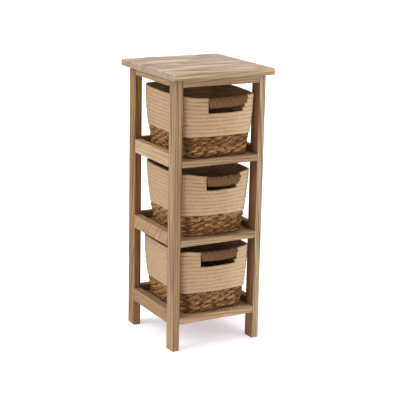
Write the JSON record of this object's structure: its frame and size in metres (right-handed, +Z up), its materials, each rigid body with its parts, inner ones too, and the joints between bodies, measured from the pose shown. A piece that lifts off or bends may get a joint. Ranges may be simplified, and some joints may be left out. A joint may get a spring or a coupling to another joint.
{
  "type": "basket drawer stand",
  "caption": "Open three-tier wooden stand with a slab top, whose tiers hold loose rope and seagrass baskets pulled out by twine-wrapped grips like drawers.",
  "frame": {"origin": "on the floor, under the middle of the top board", "axes": "+Z up, +X to the right seen from the open front, front faces -Y"},
  "size_m": [0.324, 0.33, 0.8],
  "materials": {
    "top_wood": "waxed, open grain",
    "leg_wood": "waxed, open grain",
    "rail_wood": "waxed, open grain",
    "shelf_wood": "waxed, open grain",
    "dowel_wood": "raw",
    "screw_steel": "zinc plated",
    "rope": "coiled and stitched rope",
    "seagrass": "plaited seagrass",
    "twine": "twisted jute"
  },
  "bodies": {
    "frame": {"front_left_leg": "leg_wood", "front_right_leg": "leg_wood", "back_left_leg": "leg_wood", "back_right_leg": "leg_wood", "left_apron": "rail_wood", "left_frame_dowels": "dowel_wood", "right_apron": "rail_wood", "right_frame_dowels": "dowel_wood", "front_apron": "rail_wood", "front_frame_dowels": "dowel_wood", "back_apron": "rail_wood", "back_frame_dowels": "dowel_wood", "lower_left_rail": "rail_wood", "lower_right_rail": "rail_wood", "lower_front_rail": "rail_wood", "lower_back_rail": "rail_wood", "lower_shelf": "shelf_wood", "middle_left_rail": "rail_wood", "middle_right_rail": "rail_wood", "middle_front_rail": "rail_wood", "middle_back_rail": "rail_wood", "middle_shelf": "shelf_wood", "upper_left_rail": "rail_wood", "upper_right_rail": "rail_wood", "upper_front_rail": "rail_wood", "upper_back_rail": "rail_wood", "upper_shelf": "shelf_wood", "top_stave_1": "top_wood", "top_stave_2": "top_wood", "top_stave_3": "top_wood", "top_stave_4": "top_wood", "top_stave_5": "top_wood", "top_screws": "screw_steel"},
    "lower_basket": {"lower_basket_base": "seagrass", "lower_seagrass_band": "seagrass", "lower_rope_wall": "rope", "lower_grip_core": "rope", "lower_grip_twine": "twine"},
    "middle_basket": {"middle_basket_base": "seagrass", "middle_seagrass_band": "seagrass", "middle_rope_wall": "rope", "middle_grip_core": "rope", "middle_grip_twine": "twine"},
    "upper_basket": {"upper_basket_base": "seagrass", "upper_seagrass_band": "seagrass", "upper_rope_wall": "rope", "upper_grip_core": "rope", "upper_grip_twine": "twine"}
  },
  "joints": [
    {"name": "lower_basket_slide", "type": "slide", "parent": "frame", "child": "lower_basket", "axis": [0, -1, 0], "range_m": [0, 0.23]},
    {"name": "middle_basket_slide", "type": "slide", "parent": "frame", "child": "middle_basket", "axis": [0, -1, 0], "range_m": [0, 0.23]},
    {"name": "upper_basket_slide", "type": "slide", "parent": "frame", "child": "upper_basket", "axis": [0, -1, 0], "range_m": [0, 0.23]}
  ]
}
